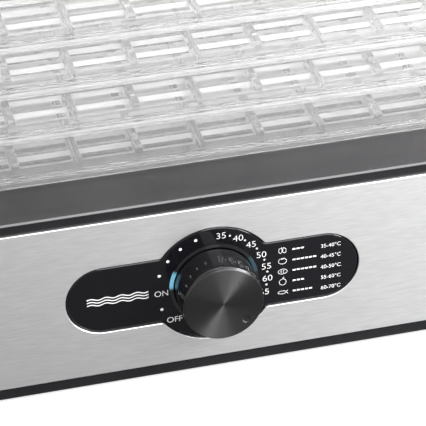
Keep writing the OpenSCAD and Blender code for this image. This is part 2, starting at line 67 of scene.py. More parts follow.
PLATE_FACE = PLATE_LO.y
DIAL = Vector(((KNOB_LO.x + KNOB_HI.x) / 2, PLATE_FACE, (KNOB_LO.z + KNOB_HI.z) / 2))
FRAME_TOP = FRAME_HI.z
DECK_Z = TRAY_LO.z
TRAY_Y = (TRAY_LO.y + TRAY_HI.y) / 2
TRAY_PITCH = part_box("tray_2_rim")[0].z - TRAY_LO.z
TRAY_HALF = Vector(((TRAY_HI.x - TRAY_LO.x) / 2, (TRAY_HI.y - TRAY_LO.y) / 2))
TRAYS = ("tray_1", "tray_2", "tray_3", "tray_4", "tray_5")

# the control panel's outline
DIAL_R = (PANEL_HI.z - PANEL_LO.z) / 2
LOBE_R = 19.3 * MM
LOBE_X = (PANEL_HI.x - PANEL_LO.x) / 2 - LOBE_R
FILLET = 2.5 * MM
PANEL_GAP = 0.2 * MM
PANEL_BEVEL = 1.0 * MM
PANEL_HOLE = (RING_HI.x - RING_LO.x) / 2 + 0.1 * MM

# one tray, inward from the edge of its rim and up from its underside
TRAY_R = 16 * MM
SKIRT = 1.8 * MM
WALL_OUT = 2.2 * MM
WALL_IN = 4.0 * MM
GROOVE_IN = 4.4 * MM
RIM_IN = 6.0 * MM
NEST = 3.0 * MM
RIM_H = 4.8 * MM
FLOOR_T = 3.0 * MM
SLOT_W, SLOT_D = 27 * MM, 9.2 * MM
BAR_X, BAR_Y = 5 * MM, 4.3 * MM
SLOT_COLUMNS, SLOT_ROWS = 12, 19
RIB_W = 2.4 * MM
PEG_W, PEG_H = 3.2 * MM, 2.4 * MM
CLEARANCE = 0.08 * MM

# the camera, from the dial's centre
CAMERA_FROM_DIAL = Vector((-0.1992, -0.8729, 0.5893))
CAMERA_HEADING = 12.887
CAMERA_DOWN = 31.424
CAMERA_ROLL = 1.855
CAMERA_LENS = 176.5


# ---------- mesh helpers ----------

def add_ring(bm, points):
    return [bm.verts.new(point) for point in points]


def bridge(bm, ring_a, ring_b, material=0):
    """Quads between two rings with the same number of vertices."""
    for i in range(len(ring_a)):
        j = (i + 1) % len(ring_a)
        bm.faces.new((ring_a[i], ring_a[j], ring_b[j], ring_b[i])).material_index = material


def loft(bm, loops, closed=False, marked=None):
    """Rings through the loops; marked gives the material of some of the stretches between them."""
    rings = [add_ring(bm, loop) for loop in loops]
    for i, (ring_a, ring_b) in enumerate(zip(rings, rings[1:])):
        bridge(bm, ring_a, ring_b, (marked or {}).get(i, 0))
    if closed:
        bridge(bm, rings[-1], rings[0])
    return rings


def cap_ends(bm, rings, material=0):
    for ring in (rings[0], rings[-1]):
        bm.faces.new(ring).material_index = material


def fill_flat(bm, outer, *holes, axes=(0, 1)):
    """Triangles over the flat area inside one ring and outside the others."""
    rings = (outer, *holes)
    flat = [[Vector((v.co[axes[0]], v.co[axes[1]], 0)) for v in ring] for ring in rings]
    verts = [v for ring in rings for v in ring]
    for triangle in tessellate_polygon(flat):
        if len(set(triangle)) == 3:
            bm.faces.new([verts[i] for i in triangle])


def to_mesh(bm, name, sharp=38):
    bmesh.ops.recalc_face_normals(bm, faces=bm.faces)
    mesh = bpy.data.meshes.new(name)
    bm.to_mesh(mesh)
    bm.free()
    mesh.shade_smooth()
    mesh.set_sharp_from_angle(angle=math.radians(sharp))
    return mesh


def piece(name, mesh, material, body, nodes=(), weighted=True):
    """A new object that rides on a body and stands for some CAD nodes."""
    if material.name not in mesh.materials:
        mesh.materials.append(material)
    made = bpy.data.objects.new(name, mesh)
    bpy.context.scene.collection.objects.link(made)
    if weighted:
        normals = made.modifiers.new("normals", "WEIGHTED_NORMAL")
        normals.keep_sharp = True
    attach(made, body)
    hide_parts(*nodes)
    return made


def arc(centre_a, centre_b, radius, start, end, steps=3):
    """Points of an arc about a centre, in degrees, both ends included."""
    turn = [math.radians(start + (end - start) * i / steps) for i in range(steps + 1)]
    return [(centre_a + radius * math.cos(t), centre_b + radius * math.sin(t)) for t in turn]


def rounded_loop(half_w, half_d, radius, steps=8):
    """A rectangle with round corners about the origin, always with the same number of points."""
    points = []
    for side_x, side_y, start in ((1, 1, 0), (-1, 1, 90), (-1, -1, 180), (1, -1, 270)):
        centre_x, centre_y = side_x * (half_w - radius), side_y * (half_d - radius)
        points += arc(centre_x, centre_y, radius, start, start + 90, steps)
    return points


def circle_loop(radius, steps=64):
    return arc(0, 0, radius, 0, 360, steps)[:-1]


# ---------- materials ----------

WHITE = (1, 1, 1, 1)
GRAIN_DEPTH, BRUSH_DEPTH, TURNED_DEPTH, WAVE_DEPTH = 0.05 * MM, 0.02 * MM, 0.01 * MM, 0.02 * MM
BRUSH_LINES = 1500.0      # noise scale across the brush lines
BRUSH_GLOSS = 0.015       # how far the roughness goes either way from line to line
TURNED_LINES = 2400.0     # noise scale across the rings of turned metal


def node(owner, kind, inputs=None, **settings):
    """A new shader node in a material or world, with its settings and its inputs' values."""
    made = owner.node_tree.nodes.new(kind)
    for key, value in settings.items():
        setattr(made, key, value)
    for key, value in (inputs or {}).items():
        made.inputs[key].default_value = value
    return made


def link(owner, source, output, target, socket):
    owner.node_tree.links.new(source.outputs[output], target.inputs[socket])


def shader_of(mat):
    return mat.node_tree.nodes["Principled BSDF"]


def finish_of(name, color, roughness, metallic=0.0, specular=0.5, **sockets):
    """A material with one Principled shader, whose constants sit on its own sockets."""
    mat = bpy.data.materials.new(name)
    mat.use_nodes = True
    mat.diffuse_color = (*color, 1)
    shader = shader_of(mat)
    shader.inputs["Base Color"].default_value = (*color, 1)
    shader.inputs["Roughness"].default_value = roughness
    shader.inputs["Metallic"].default_value = metallic
    shader.inputs["Specular IOR Level"].default_value = specular
    for key, value in sockets.items():
        shader.inputs[key.replace("_", " ")].default_value = value
    return mat


def stretched(mat, scale):
    """Object coordinates, in metres, multiplied along each axis."""
    place = node(mat, "ShaderNodeTexCoord")
    size = node(mat, "ShaderNodeVectorMath", {1: scale}, operation="MULTIPLY")
    link(mat, place, "Object", size, 0)
    return size


def noise(mat, scale, detail=3.0):
    size = stretched(mat, scale)
    made = node(mat, "ShaderNodeTexNoise", {"Scale": 1.0, "Detail": detail})
    link(mat, size, "Vector", made, "Vector")
    return made


def spread(mat, source, output, low, high, target, socket):
    """Maps a noise of about 0.3 to 0.7 to the range low to high."""
    ramp = node(mat, "ShaderNodeMapRange", {"From Min": 0.3, "From Max": 0.7, "To Min": low, "To Max": high})
    link(mat, source, output, ramp, "Value")
    link(mat, ramp, "Result", target, socket)


def tint(mat, source, low, high, target):
    """Lets a noise run the base colour from low to high."""
    mix = node(mat, "ShaderNodeMix", data_type="RGBA")
    mix.inputs["A"].default_value = (*low, 1)
    mix.inputs["B"].default_value = (*high, 1)
    spread(mat, source, "Fac", 0.0, 1.0, mix, "Factor")
    link(mat, mix, "Result", target, "Base Color")


def raise_bump(mat, source, output, strength, depth, target):
    bump = node(mat, "ShaderNodeBump", {"Strength": strength, "Distance": depth})
    link(mat, source, output, bump, "Height")
    link(mat, bump, "Normal", target, "Normal")


def shade(color, factor):
    return tuple(min(1.0, channel * factor) for channel in color)


def grained(name, color, roughness, scale=900, bump=0.15, vary=0.12, rough_vary=0.06, **more):
    """Moulded or cast surface: a fine grain, slow changes of colour and patches of gloss."""
    mat = finish_of(name, color, roughness, **more)
    shader = shader_of(mat)
    grain = noise(mat, (scale, scale, scale), 2.0)
    cloud = noise(mat, (scale / 30, scale / 30, scale / 30), 4.0)
    tint(mat, cloud, shade(color, 1 - vary), shade(color, 1 + vary), shader)
    spread(mat, cloud, "Fac", max(0.02, roughness - rough_vary), roughness + rough_vary, shader, "Roughness")
    raise_bump(mat, grain, "Fac", bump, GRAIN_DEPTH, shader)
    return mat


def brushed(name, color, roughness, along="X", bump=0.25, anisotropy=0.6, vary=0.05, length=9.0):
    """Sheet metal with fine brush lines along one axis, each of about the given length in mm."""
    mat = finish_of(name, color, roughness, metallic=1.0, Anisotropic=anisotropy)
    shader = shader_of(mat)
    axis = "XYZ".index(along)
    scale = [BRUSH_LINES, BRUSH_LINES, BRUSH_LINES]
    scale[axis] = 1000.0 / length
    lines = noise(mat, scale, 2.0)
    tint(mat, lines, shade(color, 1 - vary), shade(color, 1 + vary), shader)
    spread(mat, lines, "Fac", roughness - BRUSH_GLOSS, roughness + BRUSH_GLOSS, shader, "Roughness")
    raise_bump(mat, lines, "Fac", bump, BRUSH_DEPTH, shader)
    tangent = node(mat, "ShaderNodeTangent", direction_type="RADIAL", axis=along)
    link(mat, tangent, "Tangent", shader, "Tangent")
    return mat


def radius_from(mat, centre):
    """The way and the distance from an axis along Y."""
    place = node(mat, "ShaderNodeTexCoord")
    shift = node(mat, "ShaderNodeVectorMath", {1: tuple(centre)}, operation="SUBTRACT")
    flat = node(mat, "ShaderNodeVectorMath", {1: (1.0, 0.0, 1.0)}, operation="MULTIPLY")
    length = node(mat, "ShaderNodeVectorMath", operation="LENGTH")
    link(mat, place, "Object", shift, 0)
    link(mat, shift, "Vector", flat, 0)
    link(mat, flat, "Vector", length, 0)
    return flat, length


def spun(name, color, roughness, centre):
    """Metal turned on a lathe: fine rings about the axis, which fan the light out."""
    mat = finish_of(name, color, roughness, metallic=1.0, Anisotropic=0.9, Anisotropic_Rotation=0.25)
    shader = shader_of(mat)
    length = radius_from(mat, centre)[1]
    scale = node(mat, "ShaderNodeMath", {1: TURNED_LINES}, operation="MULTIPLY")
    link(mat, length, "Value", scale, 0)
    rings = node(mat, "ShaderNodeTexNoise", {"Scale": 1.0, "Detail": 3.0}, noise_dimensions="1D")
    link(mat, scale, "Value", rings, "W")
    tint(mat, rings, shade(color, 0.93), shade(color, 1.07), shader)
    spread(mat, rings, "Fac", roughness - 0.03, roughness + 0.03, shader, "Roughness")
    raise_bump(mat, rings, "Fac", 0.08, TURNED_DEPTH, shader)
    tangent = node(mat, "ShaderNodeTangent", direction_type="RADIAL", axis="Y")
    link(mat, tangent, "Tangent", shader, "Tangent")
    return mat


def moulded_clear(name, color, roughness, clearness):
    """Clear polystyrene of some clearness, with faint moulding waves and a slightly uneven polish."""
    mat = finish_of(name, color, roughness, IOR=1.5, Transmission_Weight=clearness)
    shader = shader_of(mat)
    waves = noise(mat, (18, 18, 30), 1.0)
    spread(mat, waves, "Fac", roughness * 0.6, roughness * 1.4, shader, "Roughness")
    raise_bump(mat, waves, "Fac", 0.01, WAVE_DEPTH, shader)
    return mat


PIPE_DARK = (0.01, 0.01, 0.011)
PIPE_GLOW = (0.2, 0.53, 0.72, 1)
PIPE_LAMPS = ((166, 0.9), (21, 0.12))      # degrees round the dial, and brightness
PIPE_EDGE, PIPE_FULL = 0.965, 0.992        # cosines of the angles where a lamp's light starts and is full


def light_pipe():
    """Light ring: lit over the two lamps behind it and black elsewhere."""
    mat = finish_of("light_pipe", PIPE_DARK, 0.12, specular=0.35, Emission_Color=PIPE_GLOW)
    shader = shader_of(mat)
    flat = radius_from(mat, DIAL)[0]
    unit = node(mat, "ShaderNodeVectorMath", operation="NORMALIZE")
    link(mat, flat, "Vector", unit, 0)
    glows = []
    for angle, power in PIPE_LAMPS:
        lamp = (math.cos(math.radians(angle)), 0.0, math.sin(math.radians(angle)))
        facing = node(mat, "ShaderNodeVectorMath", {1: lamp}, operation="DOT_PRODUCT")
        glow = node(mat, "ShaderNodeMapRange",
                    {"From Min": PIPE_EDGE, "From Max": PIPE_FULL, "To Max": power},
                    interpolation_type="SMOOTHSTEP")
        link(mat, unit, "Vector", facing, 0)
        link(mat, facing, "Value", glow, "Value")
        glows.append(glow)
    both = node(mat, "ShaderNodeMath", operation="ADD")
    link(mat, glows[0], "Result", both, 0)
    link(mat, glows[1], "Result", both, 1)
    link(mat, both, "Value", shader, "Emission Strength")
    return mat


def make_materials():
    """One material for each slot of the record, two more for the trays and one for the printed marks."""
    return {
        "case_plastic": grained("case_plastic", (0.007, 0.007, 0.008), 0.4, specular=0.2),
        "deck_plastic": grained("deck_plastic", (0.025, 0.025, 0.026), 0.16, scale=600, bump=0.02,
                                rough_vary=0.02, specular=0.45),
        "front_steel": brushed("front_steel", (0.86, 0.86, 0.865), 0.34, bump=0.008),
        "panel_plastic": grained("panel_plastic", (0.003, 0.003, 0.004), 0.06, scale=300, bump=0.01,
                                 rough_vary=0.02, specular=0.25),
        "light_pipe": light_pipe(),
        "circuit_board": grained("circuit_board", (0.02, 0.12, 0.06), 0.4, scale=500),
        "hidden_steel": brushed("hidden_steel", (0.5, 0.5, 0.5), 0.36, bump=0.12, anisotropy=0.3),
        "shaft_aluminium": brushed("shaft_aluminium", (0.62, 0.62, 0.63), 0.3, along="Y", anisotropy=0.3),
        "soft_rubber": grained("soft_rubber", (0.03, 0.03, 0.03), 0.72, scale=1500, bump=0.3),
        "motor_paint": grained("motor_paint", (0.07, 0.07, 0.08), 0.42, scale=1200, bump=0.25),
        "mica_card": grained("mica_card", (0.42, 0.34, 0.2), 0.5, scale=250, bump=0.2, vary=0.3),
        "heating_wire": grained("heating_wire", (0.2, 0.14, 0.1), 0.42, scale=900, metallic=1.0, vary=0.3),
        "terminal_plastic": grained("terminal_plastic", (0.55, 0.52, 0.44), 0.45),
        "wire_sleeve": grained("wire_sleeve", (0.32, 0.03, 0.03), 0.5, scale=1200),
        "knob_plastic": grained("knob_plastic", (0.01, 0.01, 0.011), 0.08, scale=300, bump=0.01,
                                rough_vary=0.02),
        "knob_metal": spun("knob_metal", (0.07, 0.07, 0.071), 0.46, DIAL),
        "impeller_plastic": grained("impeller_plastic", (0.05, 0.05, 0.055), 0.45),
        "clear_plastic": moulded_clear("clear_plastic", (0.99, 0.99, 0.99), 0.01, 0.93),
        "flange_plastic": moulded_clear("flange_plastic", (0.7, 0.7, 0.7), 0.15, 0.85),
        "satin_plastic": moulded_clear("satin_plastic", (0.97, 0.97, 0.97), 0.5, 0.15),
        "print_white": grained("print_white", (0.45, 0.45, 0.45), 0.45, scale=2000, bump=0.05, vary=0.05),
    }


# ---------- front ----------

PLATE_CORNER = 1.2 * MM


def fillet_centre():
    """Centre of the fillet between the panel's round middle and a lobe, from the dial's centre."""
    across = math.sqrt((DIAL_R + FILLET) ** 2 - (LOBE_R + FILLET) ** 2)
    return Vector((across, LOBE_R + FILLET))


def panel_loop(inset, depth):
    """The panel's outline: a round middle, a lobe on each side and a fillet where they meet."""
    centre = fillet_centre()
    meet = math.degrees(math.atan2(centre.y, centre.x))
    lobe, middle, fillet = LOBE_R - inset, DIAL_R - inset, FILLET + inset
    quarter = arc(LOBE_X, 0, lobe, 0, 90, 16)
    quarter += arc(centre.x, centre.y, fillet, 270, 180 + meet, 6)
    quarter += arc(0, 0, middle, meet, 90, 20)[1:-1]
    points = quarter + [(0, middle)] + [(-x, z) for x, z in reversed(quarter)]
    points += [(x, -z) for x, z in reversed(points[1:-1])]
    return [(DIAL.x + x, PLATE_FACE + depth, DIAL.z + z) for x, z in points]


def dial_loops(profile, steps):
    """Circles about the dial's axis from (radius, depth) points."""
    return [[(DIAL.x + x, PLATE_FACE + depth, DIAL.z + z) for x, z in circle_loop(radius, steps)]
            for radius, depth in profile]


def plate_loop(inset, depth):
    half_w = (PLATE_HI.x - PLATE_LO.x) / 2 - inset
    half_h = (PLATE_HI.z - PLATE_LO.z) / 2 - inset
    middle_z = (PLATE_HI.z + PLATE_LO.z) / 2
    loop = rounded_loop(half_w, half_h, PLATE_CORNER - inset, 4)
    return [(x, PLATE_FACE + depth, middle_z + z) for x, z in loop]


def edge_steps(radius):
    """(inset, depth) of a round edge between a face at depth 0 and a side."""
    return [(radius - a, radius - b) for a, b in arc(0, 0, radius, 90, 0)]


def make_front_plate(materials):
    """Brushed steel plate with rounded edges around it and around its cut-out."""
    bm = bmesh.new()
    edge = 0.5 * MM
    back = PLATE_HI.y - PLATE_LO.y
    steps = edge_steps(edge)
    outer = [plate_loop(inset, depth) for inset, depth in steps] + [plate_loop(0, back)]
    inner = [panel_loop(-PANEL_GAP - inset, depth) for inset, depth in steps]
    inner += [panel_loop(-PANEL_GAP, back)]
    outer_rings = loft(bm, outer)
    inner_rings = loft(bm, inner)
    fill_flat(bm, outer_rings[0], inner_rings[0], axes=(0, 2))
    fill_flat(bm, outer_rings[-1], inner_rings[-1], axes=(0, 2))
    piece("steel_plate", to_mesh(bm, "steel_plate"), materials["front_steel"], "base",
          ["front_plate"])


def make_control_panel(materials):
    """Gloss panel with a bevelled edge and a round hole for the light ring."""
    face = PANEL_LO.y - PLATE_FACE
    back = PANEL_HI.y - PLATE_FACE
    soft = 0.25 * MM
    drop = 0.7 * MM
    loops = [
        panel_loop(PANEL_BEVEL + soft, face),
        panel_loop(PANEL_BEVEL, face + 0.04 * MM),
        panel_loop(PANEL_BEVEL - soft, face + 0.2 * MM),
        panel_loop(soft, face + drop - 0.1 * MM),
        panel_loop(0, face + drop + soft),
        panel_loop(0, back),
    ]
    hole_edge = 0.15 * MM
    holes = [(PANEL_HOLE + hole_edge, face), (PANEL_HOLE, face + hole_edge), (PANEL_HOLE, back)]
    bm = bmesh.new()
    outer = loft(bm, loops)
    inner = loft(bm, dial_loops(holes, 96))
    fill_flat(bm, outer[0], inner[0], axes=(0, 2))
    fill_flat(bm, outer[-1], inner[-1], axes=(0, 2))
    piece("gloss_panel", to_mesh(bm, "gloss_panel", 60), materials["panel_plastic"], "base",
          ["control_panel"])


# ---------- knob ----------

KNOB_R = (KNOB_HI.x - KNOB_LO.x) / 2
KNOB_FRONT = DISC_LO.y - PLATE_FACE
CAP_R = 20.3 * MM
CAP_EDGE_R = KNOB_R - 0.1 * MM
CAP_BEVEL = 0.6 * MM
CAP_T = 1.4 * MM


def make_knob_body(materials):
    """Polished hollow skirt of the knob, behind its metal cap."""
    back = KNOB_HI.y - PLATE_FACE
    front = KNOB_FRONT + CAP_T + 0.02 * MM
    shaft_r, hub_r, wall_r = 3.1 * MM, 6.5 * MM, KNOB_R - 2.2 * MM
    soft, small, web = 0.5 * MM, 0.12 * MM, 1.6 * MM
    profile = [
        (shaft_r, front), (KNOB_R - soft, front), (KNOB_R - 0.1 * MM, front + small),
        (KNOB_R, front + 0.4 * MM), (KNOB_R, back - soft), (KNOB_R - 0.15 * MM, back - small),
        (KNOB_R - soft, back), (wall_r, back), (wall_r, front + web),
        (hub_r, front + web), (hub_r, back), (shaft_r, back),
    ]
    bm = bmesh.new()
    loft(bm, dial_loops(profile, 128), closed=True)
    piece("knob_skirt", to_mesh(bm, "knob_skirt", 50), materials["knob_plastic"], "knob",
          ["knob_body"])


def make_knob_face(materials):
    """Spun metal cap with a bevelled edge and a shallow round dimple."""
    dimple_angle, dimple_reach = -44, 16     # degrees, and mm from the dial's axis
    turn = math.radians(dimple_angle)
    dimple = Vector((math.cos(turn), math.sin(turn))) * dimple_reach * MM
    dimple_r, dimple_depth, dimple_slope = 2.1 * MM, 0.5 * MM, 0.5 * MM
    rings_inside = 58
    bm = bmesh.new()
    side = [(CAP_EDGE_R, KNOB_FRONT + CAP_T), (CAP_EDGE_R, KNOB_FRONT + CAP_BEVEL + 0.08 * MM)]
    side += [(CAP_EDGE_R - 0.06 * MM, KNOB_FRONT + CAP_BEVEL), (CAP_R + 0.08 * MM, KNOB_FRONT + 0.05 * MM)]
    loops = dial_loops(side, 256)
    for i in range(rings_inside, 0, -1):
        loop = []
        for x, z in circle_loop(CAP_R * i / rings_inside, 256):
            gap = (Vector((x, z)) - dimple).length
            share = min(1.0, max(0.0, (dimple_r - gap) / dimple_slope))
            sink = dimple_depth * share * share * (3 - 2 * share)
            loop.append((DIAL.x + x, PLATE_FACE + KNOB_FRONT + sink, DIAL.z + z))
        loops.append(loop)
    rings = loft(bm, loops)
    cap_ends(bm, rings)
    piece("knob_disc", to_mesh(bm, "knob_disc", 20), materials["knob_metal"], "knob",
          ["knob_face"], weighted=False)


# ---------- printed marks ----------

# round the dial: angles in degrees from the right, radii in mm
DIAL_NUMBERS = ((35, 81), (40, 62), (45, 45), (50, 27), (55, 11), (60, -4), (65, -21), (70, -38))
DIAL_DOTS = ((108, 28.6), (126, 28.8), (144, 29.3), (162, 29.9), (202, 30.1))
DIAL_WORDS = (("ON", 183.5, 27.8), ("OFF", 221, 28.4))
NUMBER_R = 28.4 * MM
NUMBER_WIDTH, NUMBER_WEIGHT = 1.12, -0.012
DIGIT_H = 3.5 * MM
WORD_H, WORD_WEIGHT = DIGIT_H * 0.95, -0.01
SMALL_DOT_R, BIG_DOT_R = 0.55 * MM, 0.85 * MM
PRINT_T = 0.03 * MM
PRINT_DROP = 0.5 * MM
LETTER_SHARE = 0.69       # a capital's height as a share of the font's size

# the table of foods, from the dial's centre
ROWS = [(13.0 - 6.4 * i) * MM for i in range(5)]
RANGES = ("35-40°C", "40-45°C", "40-50°C", "55-60°C", "60-70°C")
RANGE_X, RANGE_DROP, RANGE_H, RANGE_WIDTH = 62.4 * MM, 1.1 * MM, 2.1 * MM, 1.05
BARS_X, BAR_LENGTHS = 41.8 * MM, (6, 12, 13, 6, 11)
ICONS_X = 36.5 * MM
SIGN_X, SIGN_Z = -50.5 * MM, -0.6 * MM


def text_mesh(body, height, weight):
    """Letters of the built-in font as a flat mesh, centred on the origin."""
    curve = bpy.data.curves.new("letters", "FONT")
    curve.body = body
    curve.align_x, curve.align_y = "CENTER", "CENTER"
    curve.size = height / LETTER_SHARE
    curve.offset = weight * height
    curve.extrude = PRINT_T / 2
    holder = bpy.data.objects.new("letters", curve)
    bpy.context.scene.collection.objects.link(holder)
    bpy.context.view_layer.update()
    made = bpy.data.meshes.new_from_object(holder.evaluated_get(bpy.context.evaluated_depsgraph_get()))
    bpy.data.objects.remove(holder)
    bpy.data.curves.remove(curve)
    return made


def print_plane(x, z):
    """Places marks on the panel's face, x to the right of the dial and z above it."""
    at = Vector((DIAL.x + x, PANEL_LO.y - PRINT_T / 2, DIAL.z + z))
    return Matrix.Translation(at) @ Matrix.Rotation(math.radians(90), 4, "X")


def add_text(bm, body, height, x, z, width=1.0, weight=0.0):
    mesh = text_mesh(body, height, weight)
    mesh.transform(print_plane(x, z) @ Matrix.Diagonal((width, 1, 1, 1)))
    bm.from_mesh(mesh)
    bpy.data.meshes.remove(mesh)


def add_patch(bm, points, x, z):
    """A thin flat patch from its outline."""
    place = print_plane(x, z)
    rings = [add_ring(bm, [place @ Vector((a, b, level)) for a, b in points])
             for level in (-PRINT_T / 2, PRINT_T / 2)]
    bridge(bm, rings[0], rings[1])
    cap_ends(bm, rings)


def add_dot(bm, radius, x, z):
    add_patch(bm, circle_loop(radius, 20), x, z)


def add_stroke(bm, points, width, x, z, closed=False):
    """A line of even width through points on the panel."""
    count = len(points)
    left, right = [], []
    for i, point in enumerate(points):
        before = Vector(points[i - 1] if i or closed else point)
        after = Vector(points[(i + 1) % count] if i < count - 1 or closed else point)
        along = (after - before).normalized()
        side = Vector((-along.y, along.x)) * width / 2
        left.append(Vector(point) + side)
        right.append(Vector(point) - side)
    place = print_plane(x, z)
    if not closed:
        add_patch(bm, left + right[::-1], x, z)
        return
    low, high = -PRINT_T / 2, PRINT_T / 2
    loops = [[place @ Vector((p.x, p.y, level)) for p in ring]
             for ring, level in ((left, low), (right, low), (right, high), (left, high))]
    loft(bm, loops, closed=True)


def oval(half_w, half_h, start=0, end=360, steps=20, x=0.0, z=0.0):
    points = arc(0, 0, 1, start, end, steps)
    return [(x + a * half_w, z + b * half_h) for a, b in points]


def add_food_icons(bm, x, rows):
    """Line drawings: a sprig, a tomato, a loaf, an apple and a fish."""
    line = 0.28 * MM
    unit = 1.15 * MM
    sprig = [oval(0.8 * unit, 1.3 * unit, x=shift * unit)[:-1] for shift in (-0.9, 0.9)]
    tomato = [oval(1.9 * unit, 1.5 * unit)[:-1]]
    loaf = [oval(2.1 * unit, 1.3 * unit)[:-1]]
    apple = [oval(1.6 * unit, 1.6 * unit)[:-1]]
    fish = [oval(1.9 * unit, 0.8 * unit, x=-0.4 * unit)[:-1]]
    for outlines, z in zip((sprig, tomato, loaf, apple, fish), rows):
        for outline in outlines:
            add_stroke(bm, outline, line, x, z, closed=True)
    extras = (
        (oval(0.6 * unit, 0.7 * unit, 200, 340, 6, z=2.0 * unit), rows[0]),
        (oval(0.9 * unit, 0.6 * unit, 190, 350, 6, z=1.6 * unit), rows[1]),
        (oval(0.5 * unit, 0.7 * unit, 100, 260, 6, x=-0.3 * unit), rows[2]),
        (oval(0.5 * unit, 0.7 * unit, 100, 260, 6, x=0.8 * unit), rows[2]),
        (oval(0.8 * unit, 1.0 * unit, 100, 170, 5, x=0.8 * unit, z=1.6 * unit), rows[3]),
        ([(1.4 * unit, 0), (2.4 * unit, 0.8 * unit)], rows[4]),
        ([(1.4 * unit, 0), (2.4 * unit, -0.8 * unit)], rows[4]),
    )
    for points, z in extras:
        add_stroke(bm, points, line, x, z)


def add_word_bars(bm, x, z, length):
    """Short dashes that stand where a word would be."""
    dash, gap, height = 1.7 * MM, 0.5 * MM, 0.9 * MM
    count = max(1, round((length + gap) / (dash + gap)))
    for i in range(count):
        left = i * (dash + gap)
        add_patch(bm, [(left, -height / 2), (left + dash, -height / 2), (left + dash, height / 2),
                       (left, height / 2)], x, z)


def add_warm_air_sign(bm, x, z):
    """Three wavy lines, a plain sign for warm air."""
    length, wave, step, line = 32 * MM, 0.5 * MM, 1.7 * MM, 0.6 * MM
    steps, per_wave = 48, 12
    points = [(length * (t / steps - 0.5), wave * math.sin(t * math.tau / per_wave))
              for t in range(steps + 1)]
    for row in (-1, 0, 1):
        add_stroke(bm, points, line, x, z + row * step)


def on_dial(radius, angle):
    turn = math.radians(angle)
    return radius * math.cos(turn), radius * math.sin(turn)


def add_dial_marks(bm):
    """The numbers round the dial, the dots between and before them, and the switch's two words."""
    for number, angle in DIAL_NUMBERS:
        x, z = on_dial(NUMBER_R, angle)
        add_text(bm, str(number), DIGIT_H, x, z - PRINT_DROP, NUMBER_WIDTH, NUMBER_WEIGHT)
    for (_, angle_a), (_, angle_b) in zip(DIAL_NUMBERS, DIAL_NUMBERS[1:]):
        add_dot(bm, SMALL_DOT_R, *on_dial(NUMBER_R, (angle_a + angle_b) / 2))
    for angle, radius in DIAL_DOTS:
        add_dot(bm, BIG_DOT_R, *on_dial(radius * MM, angle))
    for word, angle, radius in DIAL_WORDS:
        add_text(bm, word, WORD_H, *on_dial(radius * MM, angle), weight=WORD_WEIGHT)


def make_panel_print(materials):
    """All the white marks on the panel, as one thin piece."""
    bm = bmesh.new()
    add_dial_marks(bm)
    for z, words, length in zip(ROWS, RANGES, BAR_LENGTHS):
        add_text(bm, words, RANGE_H, RANGE_X, z - RANGE_DROP, RANGE_WIDTH)
        add_word_bars(bm, BARS_X, z, length * MM)
    add_food_icons(bm, ICONS_X, ROWS)
    add_warm_air_sign(bm, SIGN_X, SIGN_Z)
    mesh = to_mesh(bm, "panel_print")
    piece("panel_print", mesh, materials["print_white"], "base", weighted=False)


# ---------- base ----------

BASE_CORNER = 8 * MM
DECK_WALL = 2.5 * MM
LOWER_EDGE = 0.12 * MM
DECK_CHAMFER = ((0, 1.15), (0.06, 1.08), (0.6, 0.3), (0.75, 0.12), (1.0, 0))     # mm inward, mm down
SKIN_SHARES = (0.1, 0.3, 0.5, 0.7, 0.85, 0.91, 0.95)
# radius and height in mm
OUTLET = ((84.4, 0), (84.0, -0.3), (84.0, -1.5), (78.3, -1.5), (78.0, -1.8), (78.0, -2.5))


def smooth_min(a, b, blend):
    """The smaller of two values, with the corner where they cross rounded off."""
    return (a + b - math.sqrt((a - b) ** 2 + blend ** 2)) / 2


def deck_height(depth):
    """Height of the deck's skin: a gentle slope up from the front edge, then flat."""
    lip, slope_end, blend = 2.7 * MM, 26 * MM, 0.12 * MM
    lip_z = FRAME_TOP + 1.35 * MM
    slope = lip_z + (DECK_Z - lip_z) * (depth - lip) / (slope_end - lip)
    return smooth_min(slope, DECK_Z, blend)


def base_loop(inset, level=None, sink=0.0):
    """The base's outline moved in by inset, at one height or following the deck's skin."""
    front = FRAME_LO.y
    half_d = (CASE_HI.y - front) / 2
    centre_y = (CASE_HI.y + front) / 2
    loop = []
    for x, y in rounded_loop(CASE_HI.x - inset, half_d - inset, BASE_CORNER - inset):
        z = deck_height(y + centre_y - PLATE_FACE) - sink if level is None else level
        loop.append((x, y + centre_y, z))
    return loop


def tray_outline(inset, level):
    return [(x, y + TRAY_Y, level)
            for x, y in rounded_loop(TRAY_HALF.x - inset, TRAY_HALF.y - inset, TRAY_R - inset)]


def mixed_loop(loop_a, loop_b, share):
    """A loop part of the way between two others, laid on the deck's skin."""
    points = [Vector(a).lerp(Vector(b), share) for a, b in zip(loop_a, loop_b)]
    return [(p.x, p.y, deck_height(p.y - PLATE_FACE)) for p in points]


def low_wall_loops():
    """The low wall that holds the first tray: up its outside, over its top and down its inside."""
    wall_top = DECK_HI.z - 0.1 * MM
    edge, root = 0.4 * MM, 0.3 * MM
    return [tray_outline(WALL_OUT, DECK_Z + root), tray_outline(WALL_OUT, wall_top - edge),
            tray_outline(WALL_OUT + edge, wall_top), tray_outline(WALL_IN - edge, wall_top),
            tray_outline(WALL_IN, wall_top - edge), tray_outline(WALL_IN, DECK_Z + root)]


def deck_loops():
    """Loops from under the deck's outer edge, over its chamfer and skin, to the inside of the low wall."""
    loops = [base_loop(DECK_WALL, FRAME_TOP), base_loop(LOWER_EDGE, FRAME_TOP),
             base_loop(0, FRAME_TOP + LOWER_EDGE)]
    loops += [base_loop(inset * MM, sink=drop * MM) for inset, drop in DECK_CHAMFER]
    start = base_loop(DECK_CHAMFER[-1][0] * MM)
    end = tray_outline(WALL_OUT - 0.4 * MM, DECK_Z)
    loops += [mixed_loop(start, end, share) for share in SKIN_SHARES]
    return loops + [end] + low_wall_loops()


